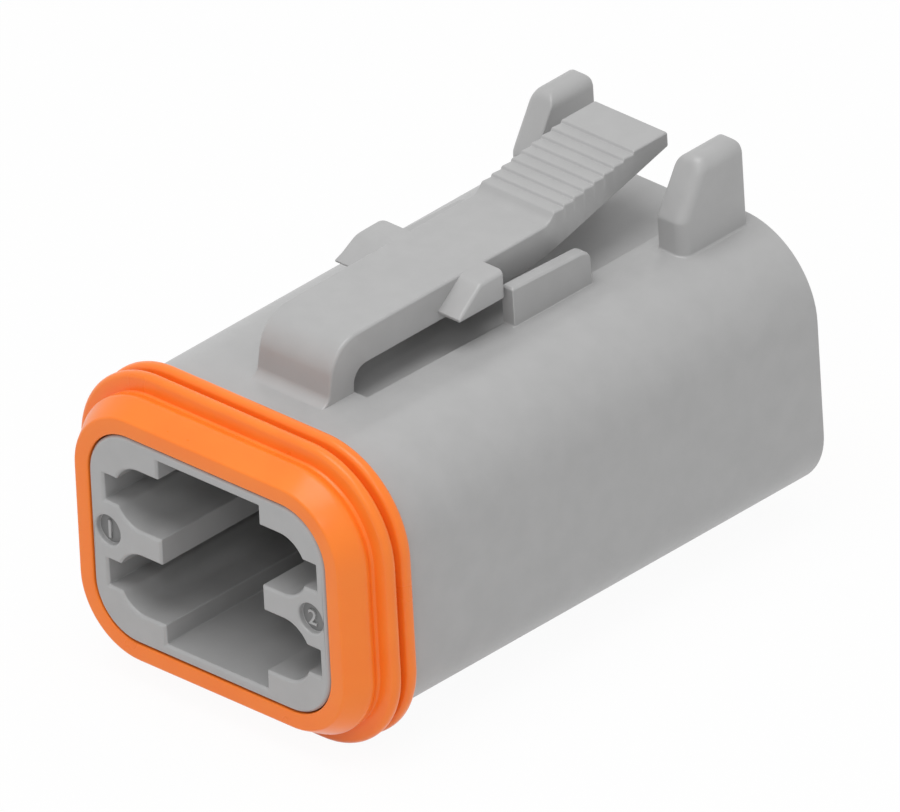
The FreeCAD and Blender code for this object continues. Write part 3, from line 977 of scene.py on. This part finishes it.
@dataclass
class LatchMoulding:
    """The latch as one moulding, from its root on the body to its stepped press pad.

    Its outer side runs from a flared foot up the root's leaning front, over the bend and along
    the flat top to the stepped pad. Its inner side runs up the slot's front wall, round the
    slot's corner and along the underside, which curves up under the pad. Every long edge is
    rounded, most of all over the bend.
    """

    half_width: float = 2.925
    root_bottom: float = 7.9
    foot_toe_y: float = 6.9
    foot_sunk: float = 0.004
    foot_round: float = 0.8
    root_front_y: float = 7.6
    root_lean: float = 0.186
    top: float = 12.6
    bend_radius: float = 2.4
    slot_front_y: float = 9.806
    slot_ceiling: float = 10.35
    slot_radius: float = 1.1
    pad_front: float = 26.36
    pad_rise: float = 0.6
    pad_run: float = 0.5
    pad_foot_round: float = 1.0
    pad_edge_round: float = 0.2
    step_count: int = 8
    step_pitch: float = 0.845
    step_rise: float = 0.13
    tread_dip: float = 0.06
    riser_run: float = 0.1
    riser_foot_round: float = 0.1
    riser_head_round: float = 0.12
    tip_y: float = 36.45
    tip_thickness: float = 0.93
    tip_round: float = 0.12
    tip_pinch: float = 0.98
    underside_slope: float = 0.262
    underside_radius: float = 12.0
    arc_steps: int = 12
    bend_start: Triple = (0.0, 8.7, 9.9)
    bend_end: Triple = (0.0, 10.3, 11.9)
    edge_rounds: Four = (0.16, 0.24, 0.15, 0.12)
    underside_round: float = 0.1

    def tip_top(self) -> float:
        """Height of the last tread."""
        return self.top + self.pad_rise + self.step_count * self.step_rise

    def outer_side(self) -> np.ndarray:
        """(n, 2) points (y, z) of the outer side, from the root to the tip.

        A polygon through the foot, the leaning front, the flat top, the pad's step and the eight
        treads gets an arc at each corner. Each tread falls slightly towards the next riser.
        """
        count = np.arange(self.step_count)
        pad_y = self.pad_front + self.pad_run
        riser_y = pad_y + (count + 1) * self.step_pitch
        tread = self.top + self.pad_rise + count * self.step_rise
        riser_foot = np.column_stack([riser_y - self.riser_run, tread - self.tread_dip])
        riser_head = np.column_stack([riser_y, tread + self.step_rise])
        first = [
            [self.foot_toe_y, self.root_bottom],
            [self.foot_toe_y, BODY_TOP - self.foot_sunk],
            [self.root_front_y, BODY_TOP - self.foot_sunk],
            [self.root_front_y + (self.top - BODY_TOP) * self.root_lean, self.top],
            [self.pad_front, self.top],
            [pad_y, self.top + self.pad_rise],
        ]
        steps = np.stack([riser_foot, riser_head], 1).reshape(-1, 2)
        last = [[self.tip_y, self.tip_top()], [self.tip_y, self.root_bottom]]
        step_rounds = [self.riser_foot_round, self.riser_head_round] * self.step_count
        rounds = [0.01, 0.01, self.foot_round, self.bend_radius, self.pad_foot_round, self.pad_edge_round]
        radii = np.array([*rounds, *step_rounds, self.tip_round, 0.01])
        points = rounded_outline(np.vstack([first, steps, last]), radii, self.arc_steps)
        bend_end = 4 * self.arc_steps
        flat = np.linspace(points[bend_end - 1], points[bend_end], 18)[1:-1]
        return np.vstack([points[:bend_end], flat, points[bend_end : -self.arc_steps]])

    def underside(self, y: np.ndarray) -> np.ndarray:
        """Height of the arm's underside at y: flat, then an arc, then a straight slope to the tip.

        Args:
            y: places along the arm, behind the slot's corner.

        Returns:
            Heights.
        """
        tip_rise = self.tip_top() - self.tip_thickness - self.slot_ceiling
        corner = self.tip_y - tip_rise / self.underside_slope
        angle = math.atan(self.underside_slope)
        cut_back = self.underside_radius * math.tan(angle / 2)
        arc_start = corner - cut_back
        across = np.clip(y - arc_start, 0, self.underside_radius * math.sin(angle))
        arc = self.slot_ceiling + self.underside_radius - np.sqrt(self.underside_radius**2 - across**2)
        slope_start = corner + cut_back * math.cos(angle)
        return np.where(y > slope_start, self.slot_ceiling + (y - corner) * self.underside_slope, arc)

    def inner_side(self, outer: np.ndarray) -> np.ndarray:
        """(n, 2) points of the inner side, one for each point of the outer side.

        Up to the bend's end the points share out the slot's front wall and its round corner by
        their distance along the outer side. From there on each lies straight below its outer
        point.

        Args:
            outer: points of the outer side.

        Returns:
            Points of the inner side.
        """
        bend_end = 4 * self.arc_steps
        angles = np.linspace(math.pi, math.pi / 2, 24)
        centre = np.array([self.slot_front_y + self.slot_radius, self.slot_ceiling - self.slot_radius])
        corner = centre + self.slot_radius * np.column_stack([np.cos(angles), np.sin(angles)])
        wall = np.vstack([[self.slot_front_y, self.root_bottom], corner])
        wall_run = run_along(wall)
        outer_run = run_along(outer[:bend_end])
        place = outer_run / outer_run[-1] * wall_run[-1]
        front = np.column_stack([np.interp(place, wall_run, side) for side in wall.T])
        rest_y = outer[bend_end:, 0]
        return np.vstack([front, np.column_stack([rest_y, self.underside(rest_y)])])

    def arm(self) -> Object:
        """The root and arm: rounded sections from the inner to the outer side.

        At the tip the half width shrinks and the underside rises by r - sqrt(r^2 - d^2), where d
        is the distance past the point one radius before the end.
        """
        outer = self.outer_side()
        inner = self.inner_side(outer)
        drawn_in = arc_fall(outer[:, 0] - (self.tip_y - self.tip_round), self.tip_round)
        inner[:, 1] += drawn_in * self.tip_pinch
        run = run_along(outer)
        steps = self.arc_steps
        marks = [steps, int(3.5 * steps), 4 * steps + 1, len(run) - 9 * steps]
        outer_round = np.interp(run, run[marks], self.edge_rounds)
        inner_round = np.full(len(run), self.underside_round)
        grid = rounded_sections(outer, inner, self.half_width - drawn_in, outer_round, inner_round)
        return closed_sweep("latch_moulding", grid)

    def build(self, lugs: CatchLugs, material: Material) -> None:
        """Builds and dresses the latch.

        Args:
            lugs: the two lugs that it carries.
            material: the plastic.
        """
        item = self.arm()
        combine(item, "UNION", lugs.lug(lugs.right), lugs.lug(lugs.left))
        shade_piece(item, SHARP_DEGREES)
        finish_piece(item, material, None, Slot.PLASTIC, "latch_arm")
        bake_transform(item)


@dataclass
class FrontSeal:
    """The seal round the nose: a flat face, a tapered lead-in, a valley and two tall ridges."""

    inner_width: float = 19.0
    inner_height: float = 13.82
    inner_radius: float = 3.36
    back_y: float = 4.47
    front_height: float = 1.06
    shoulder: Pair = (1.99, 1.58)
    shoulder_round: float = 0.6
    valley: Pair = (1.7, 2.05)
    ridge_top: float = 2.9
    ridge_y: Pair = (2.7, 3.98)
    ridge_radius: float = 0.38
    groove_height: float = 1.5
    heel_height: float = 2.15

    def section(self) -> np.ndarray:
        """Closed section as (outward distance, y): each corner of a polygon gets its own arc."""
        front, back = self.ridge_y
        r = self.ridge_radius
        middle = (front + back) / 2
        rows = [
            (0.0, 0.0, 0.1),
            (self.front_height, 0.0, 0.22),
            (*self.shoulder, self.shoulder_round),
            (*self.valley, 0.2),
            (self.valley[0] + 0.1, front - r - 0.04, 0.08),
            (self.ridge_top, front - r, r * 0.96),
            (self.ridge_top, front + r, r * 0.96),
            (self.groove_height, middle - 0.1, 0.08),
            (self.groove_height, middle + 0.1, 0.08),
            (self.ridge_top, back - r, r * 0.96),
            (self.ridge_top, back + r, r * 0.96),
            (self.heel_height, self.back_y, 0.05),
            (0.0, self.back_y, 0.05),
        ]
        table = np.array(rows)
        return rounded_outline(table[:, :2], table[:, 2], 7)

    def build(self, material: Material) -> None:
        """Builds and dresses the seal.

        Args:
            material: the rubber.
        """
        path, outward = rectangle_path(self.inner_width, self.inner_height, self.inner_radius)
        item = ring_solid("front_seal", path, outward, self.section())
        item.data.shade_smooth()
        finish_piece(item, material, Body.PLUG, Slot.RUBBER, "interface_seal")


@dataclass
class WireGrommet:
    """The rear seal in its pocket, with a raised collar round each wire bore."""

    edge_round: float = 0.15

    def build(self, nodes: dict[str, Object], material: Material) -> None:
        """Builds and dresses the grommet.

        Args:
            nodes: the CAD nodes by name.
            material: the rubber.
        """
        skin = weld_copy(nodes["wire_grommet"], "rear_grommet")
        soften_edges(skin, self.edge_round)
        finish_piece(skin, material, Body.PLUG, Slot.RUBBER, "wire_grommet")


@dataclass
class LockingFingers:
    """The four fingers in the pocket, which keep their CAD shape."""

    def build(self, nodes: dict[str, Object], material: Material) -> None:
        """Gives the CAD fingers the plastic's material.

        Args:
            nodes: the CAD nodes by name.
            material: the plastic.
        """
        for place in ("upper_left", "upper_right", "lower_left", "lower_right"):
            item = nodes[f"locking_finger_{place}"]
            item.data.materials.clear()
            item.data.materials.append(material)
            LOG.info("%s: CAD shape with moulded finish", item.name)


# Studio


@dataclass(frozen=True)
class Lamp:
    """A square lamp: its power in watts, and its place and side in millimetres."""

    name: str
    energy: float
    place: Triple
    size: float


@dataclass
class Studio:
    """Pale floor, soft lights and the camera at the photograph's angle."""

    floor_z: float = -9.83
    floor_half: float = 1500.0
    floor_colour: str = "#efefef"
    floor_lift: float = 0.95
    sky_strength: float = 0.515
    key: Lamp = Lamp("key", 1.03, (20.0, -60.0, 420.0), 300.0)
    fill: Lamp = Lamp("fill", 0.16, (225.0, -250.0, 290.0), 60.0)
    right: Triple = (0.7221, 0.6901, -0.0484)
    up: Triple = (-0.3152, 0.3904, 0.8649)
    centre_right: float = 13.96
    centre_up: float = 9.76
    view_width: float = 52.11

    def background_rays(self, tree: NodeTree) -> NodeSocket:
        """1 for camera, glossy and transmission rays, and 0 for the light's own bounces."""
        path = add_node(tree, "ShaderNodeLightPath", {})
        seen = path.outputs["Is Camera Ray"]
        for other in ("Is Glossy Ray", "Is Transmission Ray"):
            pair = {0: seen, 1: path.outputs[other]}
            seen = add_node(tree, "ShaderNodeMath", pair, operation="MAXIMUM").outputs[0]
        return seen

    def build_floor(self) -> None:
        """Lays the pale floor, lifted towards white where it is seen, with the object's shadow."""
        half = self.floor_half
        corners = np.array([[-half, -half], [half, -half], [half, half], [-half, half]])
        floor = new_object("floor", np.column_stack([corners, np.full(4, self.floor_z)]), [[0, 1, 2, 3]])
        material = bpy.data.materials.new("studio_floor_paper")
        material.use_nodes = True
        tree = material.node_tree
        tree.nodes.clear()
        paper = add_node(tree, "ShaderNodeBsdfDiffuse", {"Color": linear_colour(self.floor_colour)})
        glow = add_node(tree, "ShaderNodeEmission", {"Color": WHITE, "Strength": 1.0})
        lift = {0: self.background_rays(tree), 1: self.floor_lift}
        share = add_node(tree, "ShaderNodeMath", lift, operation="MULTIPLY").outputs[0]
        blend = {0: share, 1: paper.outputs["BSDF"], 2: glow.outputs["Emission"]}
        mix = add_node(tree, "ShaderNodeMixShader", blend)
        add_node(tree, "ShaderNodeOutputMaterial", {"Surface": mix.outputs["Shader"]})
        floor.data.materials.append(material)

    def build_world(self) -> None:
        """Soft even sky that looks white wherever it is seen."""
        world = bpy.data.worlds.new("studio")
        world.use_nodes = True
        tree = world.node_tree
        tree.nodes.clear()
        sky = add_node(tree, "ShaderNodeBackground", {"Color": WHITE, "Strength": self.sky_strength})
        white = add_node(tree, "ShaderNodeBackground", {"Color": WHITE, "Strength": 1.0})
        rays = self.background_rays(tree)
        blend = {0: rays, 1: sky.outputs["Background"], 2: white.outputs["Background"]}
        mix = add_node(tree, "ShaderNodeMixShader", blend)
        add_node(tree, "ShaderNodeOutputWorld", {"Surface": mix.outputs["Shader"]})
        bpy.context.scene.world = world

    def build_light(self, lamp: Lamp) -> None:
        """Hangs one square lamp that faces the object.

        Args:
            lamp: its name, power, place and size.
        """
        data = bpy.data.lights.new(lamp.name, "AREA")
        data.energy = lamp.energy
        data.shape = "SQUARE"
        data.size = lamp.size * MM
        item = link_object(lamp.name, data)
        item.location = Vector(lamp.place) * MM
        aim = Vector((0, 20, 0)) * MM - item.location
        item.rotation_euler = aim.to_track_quat("-Z", "Y").to_euler()

    def build_camera(self) -> None:
        """Parallel camera whose picture plane and frame match the photograph."""
        right, up = Vector(self.right).normalized(), Vector(self.up)
        back = right.cross(up).normalized()
        up = back.cross(right)
        data = bpy.data.cameras.new("camera")
        data.type = "ORTHO"
        data.ortho_scale = self.view_width * MM
        data.clip_start = 0.001
        data.clip_end = 5.0
        item = link_object("camera", data)
        place = (right * self.centre_right + up * self.centre_up + back * 300) * MM
        turn = Matrix((right, up, back)).transposed().to_4x4()
        item.matrix_world = Matrix.Translation(place) @ turn
        bpy.context.scene.camera = item

    def build(self) -> None:
        """Builds the whole studio."""
        bpy.context.scene.view_settings.view_transform = "Standard"
        self.build_floor()
        self.build_world()
        self.build_light(self.key)
        self.build_light(self.fill)
        self.build_camera()


def main() -> None:
    """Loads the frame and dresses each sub-assembly in turn."""
    logging.basicConfig(level=logging.INFO)
    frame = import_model()
    nodes = frame["nodes"]
    plastic = NYLON.material()
    rubber = SILICONE.material()
    Studio().build()
    HousingMoulding().build(nodes, plastic)
    GuardEars().build(plastic)
    LatchMoulding().build(CatchLugs(), plastic)
    FrontSeal().build(rubber)
    WireGrommet().build(nodes, rubber)
    LockingFingers().build(nodes, plastic)


if __name__ == "__main__":
    main()
